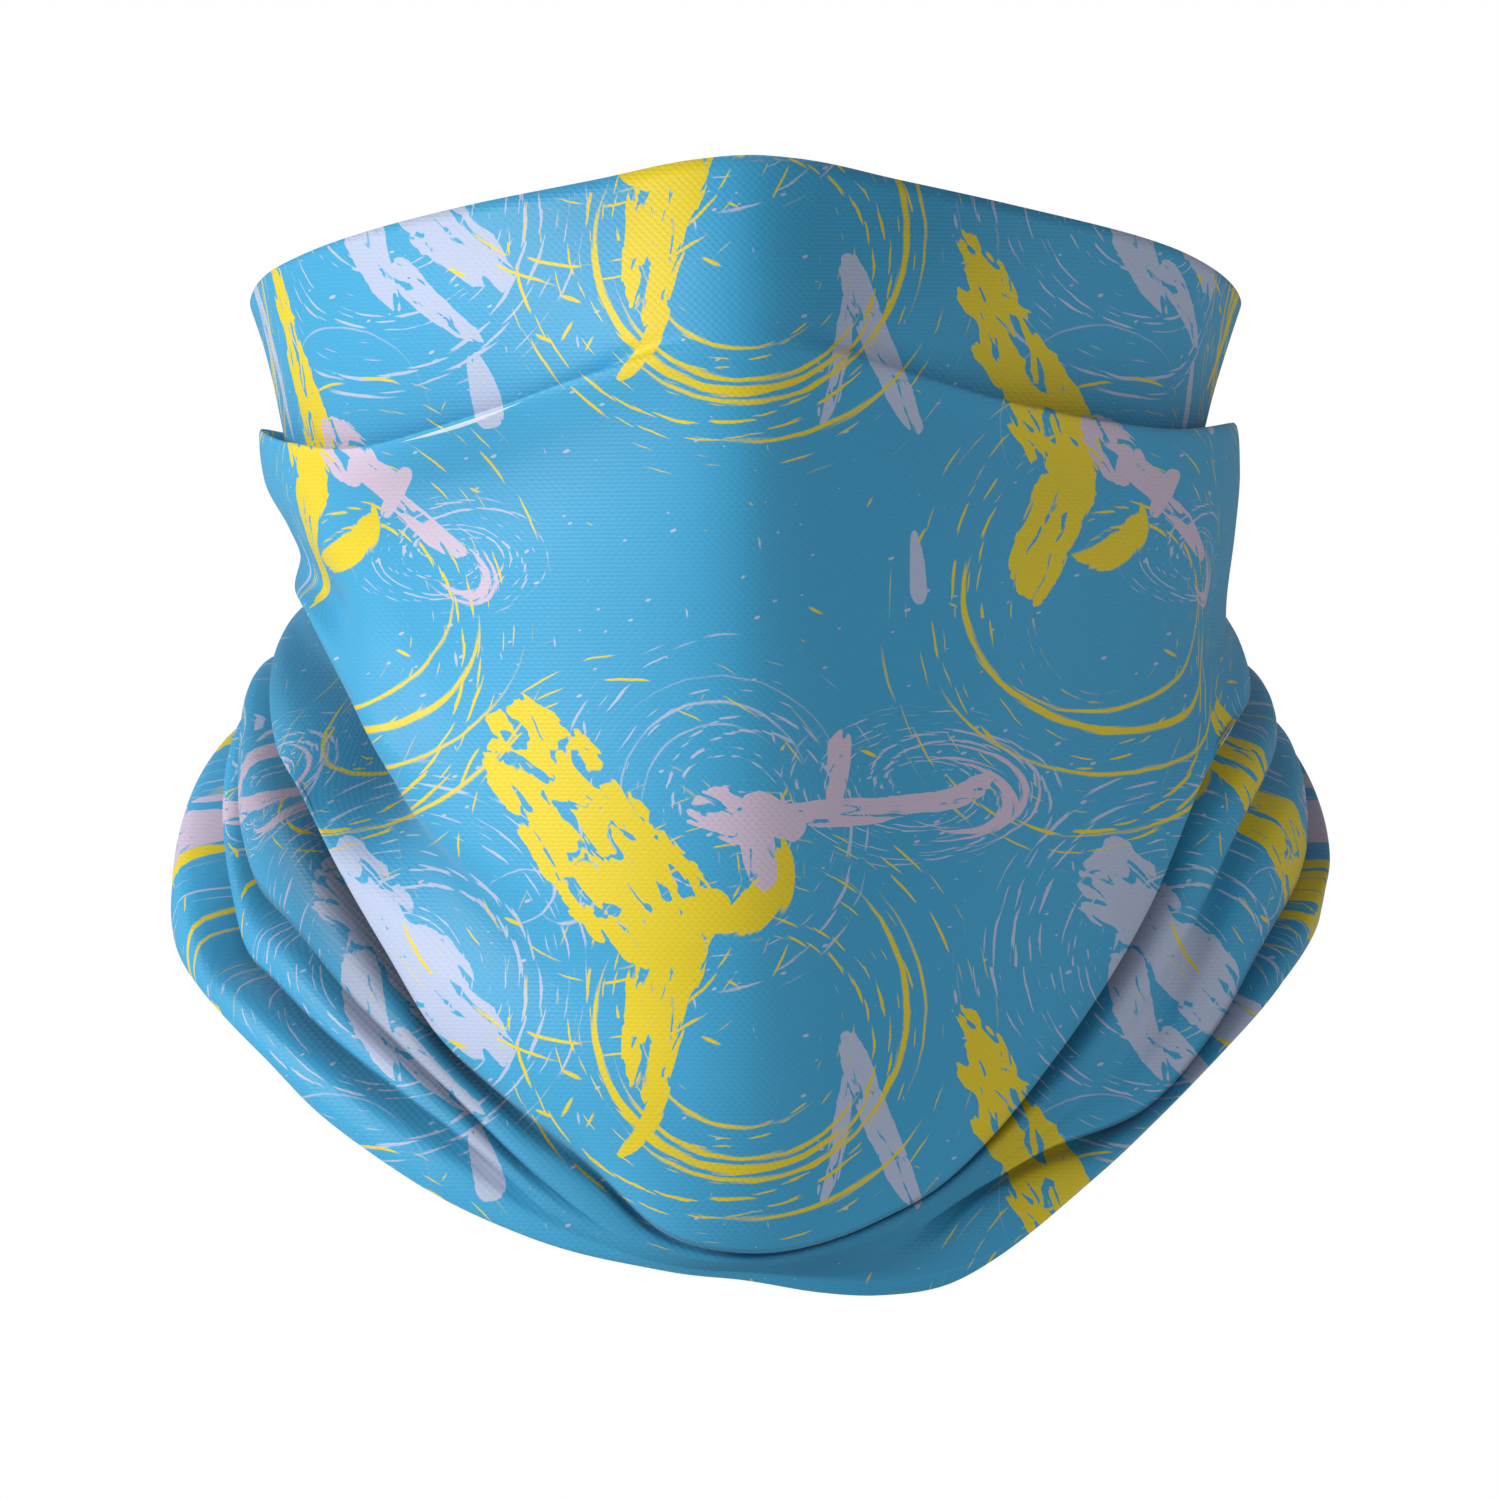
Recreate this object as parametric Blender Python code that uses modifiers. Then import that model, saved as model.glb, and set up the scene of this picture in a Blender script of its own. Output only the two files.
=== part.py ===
"""Neck gaiter in its worn shape: up over the nose, tucked at cheek height, bunched round the neck.

Metres, +Z up, front towards -Y.  The origin is on the axis of the wearer's neck, at the height of
the lowest point of the bottom rim.  Azimuth is 0 at the front, positive towards +X and 180 at the
back.  Places down the cloth are counted in rings, from 0 at the top rim.
"""
import math

import bpy
from mathutils import Vector

MM = 0.001

# The fabric tube
WALL = 1.6 * MM                  # plain wall that stands for the thin, rippled cloth
SECTIONS_AROUND = 60
SECTIONS_PER_RING = 2
BACK = 180.0                     # azimuth of the seam

# The rings that the tube is lofted through, top to bottom, in millimetres.  Each has its half-sizes
# to -X, +X, front and back, the roundness of its front (2 is an ellipse, less is more pointed), and
# its heights at GUIDE_ANGLES.
GUIDE_STEP = 30
GUIDE_ANGLES = range(-150, 181, GUIDE_STEP)
RINGS = (
    # top rim: highest on the bridge of the nose
    (80.0, 78.6, 88, 89, 1.75, (149, 152, 156.5, 164.5, 171, 177.5, 170.5, 164.5, 156.5, 152, 149, 148)),
    # middle of the upper band
    (76.6, 75.2, 94, 89.5, 1.70, (142, 144, 146, 151, 159, 165.5, 159, 151, 146, 144, 142, 141)),
    # foot of the band, tucked behind the lip at the cheeks
    (74.5, 73.0, 97.5, 89, 1.70, (133, 132, 131, 129.5, 137.5, 153.5, 138.5, 130.5, 131, 132, 133, 133)),
    # lip of the tuck
    (78.0, 77.3, 98.8, 89, 1.70, (132, 135.5, 136.5, 134, 138.5, 147, 140, 136.5, 137.5, 135.5, 132, 131)),
    # cheeks and upper lip
    (76.0, 78.4, 96.5, 88.5, 1.72, (126, 126, 125, 123.5, 123, 126.5, 123, 123.5, 125, 126, 126, 126)),
    # mouth
    (71.5, 76.2, 93, 88, 1.80, (122, 120, 109, 105, 97.5, 93.5, 97.5, 104.5, 109, 120, 122, 122.5)),
    # chin
    (72.5, 77.0, 92, 87, 1.85, (118.5, 116, 102, 88, 68.5, 59, 68.5, 90, 102, 116, 118.5, 119.5)),
    # under the chin
    (75.0, 78.5, 84, 86, 1.90, (116, 112.5, 97.5, 76, 46, 27.5, 42, 78, 98, 112.5, 116, 117)),
    # lower edge of the main drape
    (76.5, 79.0, 76, 86.5, 2.00, (113, 109, 93.5, 66, 29.5, 7.8, 24.5, 69, 95, 109, 113, 114)),
    # valley under the drape
    (73.0, 75.5, 72.5, 85.5, 2.00, (110, 105.5, 89, 60.5, 27, 6.7, 23, 63.5, 90, 105.5, 110, 111)),
    # first neck fold and its valley
    (82.5, 84.5, 71.5, 87, 2.00, (106.5, 102, 79, 50.5, 23.5, 5.5, 21.5, 55.5, 83, 102, 106.5, 107.5)),
    (79.0, 81.5, 69.5, 86.5, 2.00, (103.5, 98.5, 75, 47, 21, 4.9, 20, 51, 79, 98.5, 103.5, 104.5)),
    # second neck fold and its valley
    (85.5, 88.0, 68.5, 88.5, 2.00, (100.5, 95.5, 70, 43.5, 18.5, 4.3, 18, 43, 75.5, 95.5, 100.5, 101.5)),
    (83.0, 85.5, 67, 89, 2.00, (97.5, 92.5, 67, 40.5, 16, 3.7, 14, 40.5, 74, 92.5, 97.5, 98.5)),
    # widest line of the collar
    (92.6, 92.7, 67.5, 95, 2.00, (93, 90.5, 65, 36, 11.5, 2.5, 9.2, 38.5, 75, 91, 93, 92)),
    # bottom rim: lowest just beside the chin
    (90.5, 90.8, 67, 97, 2.00, (42, 55, 53, 31.5, 8.4, 1.3, 3.6, 35.5, 60, 56, 42, 34)),
)

# The flat seam at the centre back, threads lying on the cloth
THREAD_RADIUS = 0.25 * MM
CLEARANCE = 0.3 * MM             # gap between pieces that touch
NEEDLE_OFFSET = 1.5 * MM         # each needle thread from the seam's centre line
COVER_HALF_WIDTH = 2.4 * MM
LOOPER_HALF_WIDTH = 2.2 * MM
TUBE_ROWS = (len(RINGS) - 1) * SECTIONS_PER_RING + 1
SEAM_START = 0.25                # in rows of the tube
SEAM_END = TUBE_ROWS - 1.25
NEEDLE_POINTS = 81
ZIGZAG_POINTS = 121

# The care label, hinged on the seam, free end towards +X
LABEL_LENGTH = 18.0 * MM
LABEL_HEIGHT = 20.0 * MM
LABEL_THICKNESS = 0.7 * MM
LABEL_BEVEL = 0.25 * MM
LABEL_LOW = 123.5 * MM           # height of its lower edge
LABEL_HINGE_X = 4.2 * MM
LABEL_HINGE_Y = 85.4 * MM
LABEL_ROOT_GAP = 0.5 * MM        # from the hinge axis to the label's root
LABEL_REST_ANGLE = 13.0          # degrees inwards from the seam's tangent

PART_NAME = "neck_gaiter"


def clear_scene():
    """Remove every object, so that the script can be run again."""
    for item in list(bpy.data.objects):
        bpy.data.objects.remove(item, do_unlink=True)


def make_material(name, colour, roughness):
    """A cloth or thread material with one colour."""
    material = bpy.data.materials.new(name)
    material.use_nodes = True
    shader = material.node_tree.nodes["Principled BSDF"]
    shader.inputs["Base Color"].default_value = (*colour, 1.0)
    shader.inputs["Roughness"].default_value = roughness
    shader.inputs["Metallic"].default_value = 0.0
    return material


def cubic(before, start, end, after, share):
    """A smooth curve from start to end, with its slopes set by the points around them."""
    pull = (end - before) * share * 0.5
    bend = (2 * before - 5 * start + 4 * end - after) * share ** 2 * 0.5
    turn = (3 * start - before - 3 * end + after) * share ** 3 * 0.5
    return start + pull + bend + turn


def ring_radius(ring, azimuth):
    """Distance of a ring from the axis at an azimuth."""
    left, right, front, back, roundness, _ = ring
    sine = math.sin(math.radians(azimuth))
    cosine = math.cos(math.radians(azimuth))
    side = right if sine > 0 else left
    depth = front if cosine > 0 else back
    power = roundness if cosine > 0 else 2.0
    reach = (abs(sine) / side) ** power + (abs(cosine) / depth) ** power
    return reach ** (-1 / power)


def ring_height(ring, azimuth):
    """Height of a ring at an azimuth, smooth all the way round."""
    heights = ring[-1]
    place = (azimuth - GUIDE_ANGLES[0]) / GUIDE_STEP
    index = math.floor(place)
    around = [heights[(index + step) % len(heights)] for step in (-1, 0, 1, 2)]
    return cubic(*around, place - index)


def ring_point(index, azimuth):
    """A point of a ring; rings past either end are mirrored, so that the rims stay straight."""
    last = len(RINGS) - 1
    if index < 0:
        return 2 * ring_point(0, azimuth) - ring_point(1, azimuth)
    if index > last:
        return 2 * ring_point(last, azimuth) - ring_point(last - 1, azimuth)
    radius = ring_radius(RINGS[index], azimuth)
    angle = math.radians(azimuth)
    height = ring_height(RINGS[index], azimuth)
    return Vector((radius * math.sin(angle), -radius * math.cos(angle), height)) * MM


def cloth_point(azimuth, place):
    """A point of the cloth's outer face at an azimuth and a place down the rings."""
    index = min(int(place), len(RINGS) - 2)
    around = [ring_point(index + step, azimuth) for step in (-1, 0, 1, 2)]
    return cubic(*around, place - index)


def seam_profile(height):
    """The tube's profile at the seam, at a height off the cloth's outer face."""
    rows = [cloth_point(BACK, row / SECTIONS_PER_RING) for row in range(TUBE_ROWS)]
    profile = []
    for index, here in enumerate(rows):
        above = rows[max(index - 1, 0)]
        below = rows[min(index + 1, TUBE_ROWS - 1)]
        first = Vector((1.0, 0.0, 0.0)).cross(here - above if index else below - here).normalized()
        second = Vector((1.0, 0.0, 0.0)).cross(below - here if below != here else here - above).normalized()
        outward = (first + second).normalized()
        profile.append(here + outward * (height / outward.dot(first)))
    return profile


def add_object(name, data, material, collection):
    """Put a mesh or curve in the scene under a node's name."""
    item = bpy.data.objects.new(name, data)
    item.data.materials.append(material)
    collection.objects.link(item)
    return item


def make_tube(material, collection):
    """The printed fabric: a loft through the rings, made a thin wall."""
    vertices = []
    for row in range(TUBE_ROWS):
        for column in range(SECTIONS_AROUND):
            azimuth = 360.0 * column / SECTIONS_AROUND - BACK
            vertices.append(cloth_point(azimuth, row / SECTIONS_PER_RING))
    faces = []
    for row in range(TUBE_ROWS - 1):
        for column in range(SECTIONS_AROUND):
            beside = (column + 1) % SECTIONS_AROUND
            upper = row * SECTIONS_AROUND
            lower = upper + SECTIONS_AROUND
            faces.append((upper + column, lower + column, lower + beside, upper + beside))
    mesh = bpy.data.meshes.new("printed_tube")
    mesh.from_pydata(vertices, [], faces)
    mesh.shade_smooth()
    tube = add_object("printed_tube", mesh, material, collection)
    wall = tube.modifiers.new("wall", "SOLIDIFY")
    wall.thickness = WALL
    wall.offset = -1.0
    return tube


def make_thread(name, points, material, collection):
    """A sewing thread along the given points."""
    curve = bpy.data.curves.new(name, "CURVE")
    curve.dimensions = "3D"
    curve.bevel_depth = THREAD_RADIUS
    curve.bevel_resolution = 2
    curve.use_fill_caps = True
    spline = curve.splines.new("POLY")
    spline.points.add(len(points) - 1)
    for target, point in zip(spline.points, points):
        target.co = (*point, 1.0)
    return add_object(name, curve, material, collection)


def thread_route(count, swing, middle, height):
    """Points down the seam, swinging to both sides of a middle line."""
    profile = seam_profile(height)
    points = []
    for index in range(count):
        place = SEAM_START + (SEAM_END - SEAM_START) * index / (count - 1)
        row = int(place)
        side = -1 if index % 2 else 1
        point = profile[row].lerp(profile[row + 1], place - row)
        point.x = middle + side * swing
        points.append(point)
    return points


def make_seam(material, collection):
    """Two needle threads and a covering thread outside, and a looper thread inside."""
    on_cloth = CLEARANCE + THREAD_RADIUS
    over_needles = on_cloth + 2 * THREAD_RADIUS + CLEARANCE
    inside = -(WALL + on_cloth)
    routes = {
        "needle_thread_left": (NEEDLE_POINTS, 0.0, -NEEDLE_OFFSET, on_cloth),
        "needle_thread_right": (NEEDLE_POINTS, 0.0, NEEDLE_OFFSET, on_cloth),
        "cover_thread": (ZIGZAG_POINTS, COVER_HALF_WIDTH, 0.0, over_needles),
        "looper_thread": (ZIGZAG_POINTS, LOOPER_HALF_WIDTH, 0.0, inside),
    }
    for name, route in routes.items():
        make_thread(name, thread_route(*route), material, collection)


def make_care_label(material, collection):
    """A folded label, parented to an empty on its hinge line beside the seam."""
    hinge = bpy.data.objects.new("care_label_hinge", None)
    hinge.location = (LABEL_HINGE_X, LABEL_HINGE_Y, LABEL_LOW)
    hinge.rotation_euler = (0.0, 0.0, -math.radians(LABEL_REST_ANGLE))
    collection.objects.link(hinge)
    bpy.ops.mesh.primitive_cube_add(size=1.0)
    label = bpy.context.object
    label.name = "care_label"
    size = Vector((LABEL_LENGTH, LABEL_THICKNESS, LABEL_HEIGHT))
    centre = Vector((LABEL_ROOT_GAP + LABEL_LENGTH / 2, 0.0, LABEL_HEIGHT / 2))
    for vertex in label.data.vertices:
        vertex.co = vertex.co * size + centre
    label.data.materials.append(material)
    for owner in list(label.users_collection):
        owner.objects.unlink(label)
    collection.objects.link(label)
    label.parent = hinge
    edges = label.modifiers.new("soft_edges", "BEVEL")
    edges.width = LABEL_BEVEL
    edges.segments = 2
    label.data.shade_smooth()


def main():
    """Build the gaiter."""
    clear_scene()
    collection = bpy.data.collections.new(PART_NAME)
    bpy.context.scene.collection.children.link(collection)
    print_blue = make_material("printed_fabric", (0.055, 0.36, 0.62), 0.75)
    thread_blue = make_material("sewing_thread", (0.10, 0.42, 0.66), 0.6)
    label_white = make_material("label_tape", (0.85, 0.85, 0.83), 0.7)
    make_tube(print_blue, collection)
    make_seam(thread_blue, collection)
    make_care_label(label_white, collection)


main()
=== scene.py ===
import math

import bpy
import numpy as np
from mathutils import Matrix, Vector


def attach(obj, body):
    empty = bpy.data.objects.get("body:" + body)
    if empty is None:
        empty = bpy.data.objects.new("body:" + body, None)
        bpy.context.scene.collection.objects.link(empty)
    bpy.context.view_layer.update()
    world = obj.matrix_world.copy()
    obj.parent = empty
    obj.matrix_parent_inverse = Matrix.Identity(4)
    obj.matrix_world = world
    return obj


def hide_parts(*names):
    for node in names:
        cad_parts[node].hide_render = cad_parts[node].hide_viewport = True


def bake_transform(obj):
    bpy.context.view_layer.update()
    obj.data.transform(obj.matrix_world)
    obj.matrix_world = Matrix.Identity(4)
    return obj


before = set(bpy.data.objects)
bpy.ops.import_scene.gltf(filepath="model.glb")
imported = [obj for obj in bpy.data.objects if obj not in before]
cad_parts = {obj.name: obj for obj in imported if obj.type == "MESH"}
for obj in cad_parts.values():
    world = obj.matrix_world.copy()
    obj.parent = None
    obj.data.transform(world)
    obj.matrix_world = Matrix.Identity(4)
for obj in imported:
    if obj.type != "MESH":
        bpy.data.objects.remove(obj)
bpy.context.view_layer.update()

MM = 0.001

# ------------------------------
# Shape of the worn cloth, in millimetres: a stack of rings from the top rim to the bottom rim
# ------------------------------
AROUND = 256                     # columns of points round the tube
REPEAT = 120.8                   # size of one repeat of the print, both ways
PRINT_LEVEL = 85.2               # height of the print's zero
TUBE_RADIUS = 84.0               # of the tube that the print goes round
FRONT_SAVING = 16.0              # how much shorter the flat front is than its arc
SEAM_STEP = 2 * (TUBE_RADIUS * math.pi - FRONT_SAVING) / REPEAT
CLOTH = 0.6                      # thickness of the knit

# Rings: half-size to the left, right, front and back, the power that rounds the front, and the
# heights of the rear half at REAR_ANGLES (0 is the front)
REAR_ANGLES = (-150, -120, 120, 150, 180)
RINGS = {
    "top_rim": (80, 78.6, 88, 89, 1.75, 149, 152, 152, 149, 148),
    "band": (77.6, 76.2, 94, 89.5, 1.7, 142, 144, 144, 142, 141),
    "band_low": (75.6, 73.6, 96.5, 89, 1.7, 134.5, 136, 136, 134.5, 134),
    "pocket": (73.6, 71.6, 95.5, 88.4, 1.7, 132, 130.5, 130.5, 132, 132),
    "lip": (78.3, 77.5, 98.8, 89.2, 1.7, 131, 135.5, 135.5, 131, 130),
    "below_lip": (77.6, 78.4, 98.2, 89, 1.7, 128, 129.5, 129.5, 128, 127),
    "cheek": (73.8, 77.6, 96.3, 88.6, 1.74, 124.5, 124.5, 124.5, 124.5, 124.5),
    "mouth": (72, 76.3, 93.8, 88, 1.8, 121.5, 120, 120, 121.5, 122),
    "jaw": (72.2, 76.2, 92.5, 87.6, 1.8, 119, 116.5, 116.5, 119, 120),
    "jaw_low": (72.4, 76.5, 91.5, 87.4, 1.82, 118.2, 115.6, 115.6, 118.2, 119.2),
    "under_jaw": (73.2, 77.6, 88, 87.2, 1.86, 116.5, 113.5, 113.5, 116.5, 117.5),
    "under_chin": (75.6, 79.3, 83, 87, 1.92, 114, 110.5, 110.5, 114, 115),
    "edge_1": (76.8, 80, 76, 86.8, 2, 111, 107, 107, 111, 112),
    "edge_2": (81.6, 84.2, 73.4, 88, 2, 104, 99.5, 99.5, 104, 105),
    "edge_3": (84.2, 88.6, 72.4, 89.6, 2, 97.5, 94, 94, 98, 99),
    "crest": (92.6, 92.7, 71.8, 95, 2, 91, 89, 89, 91, 90),
    "skirt": (92.2, 92.3, 71.2, 97.2, 2, 67, 72, 73, 67, 62),
    "rim": (90.8, 91.3, 70.8, 97, 2, 42, 54, 56, 42, 34),
}

# Lines: distance to the right and height, across the front half
LINES = {
    "top_rim": ((-80, 156.5), (-78, 160), (-71, 163.5), (-43.5, 170.5), (-24, 174), (-8, 177), (0, 177.6),
        (8, 177), (23, 174), (40.5, 170.5), (69.5, 163.5), (76, 160), (78.6, 156.5)),
    "band": ((-77.6, 149), (-55, 153), (-29.5, 157), (0, 161), (28, 157), (53.5, 154), (76.2, 149)),
    "band_low": ((-75.6, 140.5), (-60.5, 136.5), (-46.5, 139), (-37, 142), (-27, 145.5), (-17, 149.5),
        (0, 153), (17, 151.5), (28.5, 147.5), (38.5, 143.5), (51, 141), (73.6, 140)),
    "pocket": ((-73.6, 128), (-60, 126), (-46.5, 129.5), (-37, 133.5), (-27, 140), (-17.5, 146.5),
        (0, 150), (17, 147), (28.5, 137.5), (38.5, 133), (51, 130.5), (71.6, 129)),
    "lip": ((-78.3, 136.5), (-73, 134), (-60.5, 133), (-46.5, 136.5), (-37, 139.5), (-27, 143),
        (-17.5, 145.5), (0, 147), (17, 145.7), (24, 144), (38.5, 140), (51, 137.5), (63, 136), (77.5, 137.5)),
    "below_lip": ((-77.6, 128), (-60, 126), (-46.5, 128.5), (-37, 131), (-27, 134), (-17.5, 136.5),
        (0, 138), (17, 137), (38.5, 132), (63, 129), (78.4, 130)),
    "cheek": ((-73.8, 121), (-60, 117), (-40, 115), (0, 118), (40, 116), (60, 118), (77.6, 120)),
    "mouth": ((-72, 116.5), (-66, 108.5), (-55, 101), (-40, 97), (0, 93), (40, 97), (60, 103), (76.3, 110)),
    "jaw": ((-72.2, 112), (-66.5, 104.5), (-60.5, 94.5), (-53.5, 84.5), (-47, 77.5), (-36, 69.5), (-23, 63.5),
        (0, 58), (12.5, 59), (28, 65), (47, 77.5), (61.5, 90), (76.2, 106)),
    "jaw_low": ((-72.4, 109.5), (-70, 105), (-66.5, 96.5), (-63, 89.5), (-58.5, 82), (-52, 75), (-38, 65),
        (-24, 57.5), (0, 52), (12.5, 53), (28, 59.5), (47, 73), (62.5, 87), (76.5, 104.5)),
    "under_jaw": ((-73.2, 103), (-71, 95), (-66.5, 83), (-57, 73), (-49, 66), (-36, 54), (-23, 45), (0, 37),
        (12.5, 38.5), (28, 46.5), (47, 62), (64.5, 79), (77.6, 101.5)),
    "under_chin": ((-75.6, 99), (-73.5, 87), (-66.5, 72.5), (-55, 57), (-42, 43), (-29.5, 33.5), (-17, 26),
        (0, 21.5), (15.5, 23), (31.5, 30.5), (47, 46), (63, 69.5), (79.3, 98.5)),
    "edge_1": ((-76.8, 95), (-75.5, 86), (-71, 78), (-64.5, 65.5), (-57, 53), (-49.5, 41), (-41.5, 33.5),
        (-34, 27.5), (-25, 20.5), (-14, 10.5), (0, 7), (14, 9.5), (21, 12.5), (30, 17.5), (38.5, 25.5),
        (47.5, 36.5), (63, 60.5), (71, 79), (80, 95.5)),
    "edge_2": ((-81.6, 84), (-81, 73), (-79.5, 66.5), (-71.5, 56.5), (-62.5, 46), (-48, 32.5), (-33, 18.5),
        (-23.5, 11.5), (-10, 6), (0, 5.3), (15.5, 8.5), (30, 15.5), (41, 23.5), (52, 32.5), (61.5, 44.5),
        (69.5, 57), (77, 72), (84.2, 88)),
    "edge_3": ((-84.2, 75), (-82.6, 63), (-80.6, 55), (-75, 48.5), (-65.5, 39.5), (-57, 33), (-42.5, 22.5),
        (-33, 15), (-22, 8.5), (0, 4.4), (16, 7.5), (37, 17.5), (45, 22), (65.5, 31.5), (73, 40.5),
        (81, 54), (88.6, 70)),
    "crest": ((-92.6, 62), (-89, 52), (-81, 43), (-71, 33.5), (-58, 23.5), (-45, 16), (-34, 11.3), (-21, 7.2),
        (0, 3.6), (11, 2.5), (21, 2.2), (33, 4.6), (41, 8.5), (51, 16.5), (60, 24), (75.5, 38.8), (86, 51),
        (91, 62), (92.7, 73)),
    "skirt": ((-92.2, 57), (-87, 47), (-78, 38), (-69, 30), (-55, 20), (-36, 10), (0, 3), (20.5, 1.2),
        (40, 7.5), (58, 22), (74, 37.5), (88, 55), (92.3, 66)),
    "rim": ((-90.8, 53), (-86, 46.5), (-76.5, 36.5), (-68.5, 28.5), (-59, 21.5), (-46.5, 14), (-35.5, 9.5),
        (-22, 6), (0, 2.4), (11, 0.5), (20.5, 0), (32, 2), (39, 6), (49, 14), (58, 21.5), (66, 29.5),
        (73.5, 37), (84, 48), (91.3, 60)),
}


# Local swellings of a ring: azimuth, spread in degrees, amount
SWELLS = {
    "top_rim": ((0, 9, 1.5),),
    "band": ((0, 9, 2.2),),
    "band_low": ((0, 12, 1.7), (-38, 18, -1.4), (38, 18, -1.2)),
    "pocket": ((0, 14, 3.5), (-38, 18, -2.4), (38, 18, -2.0)),
    "lip": ((0, 10, 0.8),),
    "below_lip": ((0, 9, 1.8), (-32, 14, -3.0), (34, 14, -0.9)),
    "cheek": ((0, 10, 2.0), (-61, 8, 1.8)),
    "mouth": ((0, 10, 1.2), (-62, 16, -1.6), (-53, 8, 2.8)),
    "jaw": ((-60, 22, 2.8), (-45, 8, 2.8)),
    "jaw_low": ((-66, 20, -5.0), (-40, 8, 1.6)),
    "under_jaw": ((-66, 20, -12.5), (-30, 18, -2.5)),
    "under_chin": ((-66, 16, -2.0),),
}

# Folds that lie on themselves: the edge hangs over the cloth that comes out from behind it.
# By azimuth: how far the cloth goes back up behind the edge, how far in, and how far below
# the edge the next layer's valley lies.
TUCKS = {
    "edge_1": (((-120, 5), (-75, 7), (-35, 5), (0, 2), (35, 5), (75, 6), (120, 5), (180, 6)),
               ((-120, 3), (-75, 6), (-35, 5), (0, 2.0), (35, 4), (75, 3.4), (120, 2.6), (180, 3)),
               ((-120, 2), (-75, 3), (-35, 2.5), (0, 0.8), (35, 2.2), (75, 3), (120, 2), (180, 2))),
    "edge_2": (((-120, 5), (-75, 6), (-40, 3), (-12, 0.8), (35, 0.6), (55, 1.2),
                (75, 3), (120, 5), (180, 6.5)),
               ((-120, 3), (-75, 6), (-40, 3), (-12, 0.3), (35, 0.3), (55, 1.2),
                (75, 2.8), (120, 3), (180, 3)),
               ((-120, 2), (-75, 2.5), (-40, 1.6), (-12, 0.4), (35, 0.6), (75, 3), (120, 2), (180, 2))),
    "edge_3": (((-120, 5), (-75, 5), (-40, 2), (-15, 0.8), (15, 0.8), (40, 4), (75, 5), (120, 5), (180, 6.5)),
               ((-120, 3), (-75, 7), (-40, 2), (-15, 0.3), (15, 0.3), (40, 4), (75, 4.5), (120, 3), (180, 3)),
               ((-120, 2), (-75, 5), (-50, 3), (-30, 1), (0, 0.4), (40, 1.6), (75, 3), (120, 2), (180, 2))),
}
# How far below each edge its painted shadow reaches, by azimuth, and how dark it is
PAINTED_CREASE_REACH = {
    "edge_1": ((-120, 5), (-80, 10), (-62, 15), (-45, 8), (-30, 4), (0, 2), (35, 3), (75, 5),
        (120, 5), (180, 5)),
    "edge_2": ((-120, 5), (-75, 5), (-45, 4), (0, 1.5), (45, 3), (75, 4), (180, 5)),
    "edge_3": ((-120, 5), (-75, 3.5), (-45, 3), (0, 1.5), (45, 4), (75, 5), (180, 5)),
}
PAINTED_CREASE_DARKNESS = {
    "edge_1": ((-160, 0.7), (-110, 0.6), (-60, 1.4), (-30, 1.0), (0, 0.5), (40, 0.5), (80, 0.5), (120, 0.7)),
    "edge_2": ((-160, 0.7), (-110, 0.45), (-60, 0.9), (-30, 0.9), (0, 0.5), (40, 0.45), (80, 0.5),
        (120, 0.7)),
    "edge_3": ((-160, 0.7), (-110, 0.45), (-60, 0.9), (-30, 0.9), (0, 0.5), (40, 0.6), (80, 0.5), (120, 0.7)),
}
# Painted soft shade round a ring: how far it reaches up and down, how many rows below the ring it may
# cover, and its darkness by azimuth
PAINTED_SOFT_SHADE = {
    "pocket": (5, 5, 7, ((-130, 0.4), (-92, 0.75), (-62, 0.35), (-35, 0.08), (-5, 0), (15, 0.25),
        (50, 0.5), (90, 0.6))),
    "below_lip": (4, 10, 99, ((-150, 0), (-60, 0), (-42, 0.3), (-18, 0.25), (-4, 0), (20, 0.08),
        (50, 0), (150, 0))),
    "under_jaw": (13, 10, 99, ((-150, 0), (-115, 0.3), (-90, 0.95), (-64, 1.15), (-50, 0.45),
        (-36, 0.05), (-25, 0), (150, 0))),
}
# Least height between one edge and the next, by azimuth
EDGE_GAPS = {
    ("edge_1", "edge_2"): ((-120, 5), (-75, 5), (-35, 3), (0, 0.6), (35, 3), (75, 5), (120, 5), (180, 5)),
    ("edge_2", "edge_3"): ((-120, 5), (-75, 5), (-35, 3), (0, 0.5), (35, 3), (75, 5), (120, 5), (180, 5)),
    ("edge_3", "crest"): ((-120, 4), (-75, 5), (-35, 2), (0, 0.4), (35, 0.5), (75, 0.5), (120, 2), (180, 3)),
    ("crest", "skirt"): ((-120, 1), (0, 0.4), (120, 1)),
    ("skirt", "rim"): ((-120, 1), (0, 0.4), (120, 1)),
}

# Rows of points after each ring, and after each of the rings of a fold that lies on itself
ROWS_AFTER = {"top_rim": 7, "band": 6, "band_low": 6, "pocket": 7, "lip": 6, "below_lip": 8,
              "cheek": 10, "mouth": 10, "jaw": 5, "jaw_low": 7, "under_jaw": 10, "under_chin": 11,
              "crest": 12, "skirt": 12}
ROWS_IN_TUCK = (3, 7, 5, 5, 4)
TUCK_WAY = (0.15, 0.4, 0.6, 0.8)  # where the rings of a fold lie when it is not folded
FULL_TUCK = 2.5                  # a fold that goes this far in is fully folded
COLLAR_ROWS = 24                 # from the crest down
CAVITY_BAND = 1.5                # height of a band in which the outermost cloth is looked for
CAVITY_BANDS = 125
CAVITY_START, CAVITY_FULL = 0.6, 7.0     # depth at which the painted shade starts, and what it grows over
FLAT_TO, ROUND_AFTER = 58, 26    # degrees: the print is flat up to the first, and turns over the next


def ease(share):
    """A smooth step from 0 to 1."""
    share = np.clip(share, 0, 1)
    return share ** 2 * (3 - 2 * share)


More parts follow.
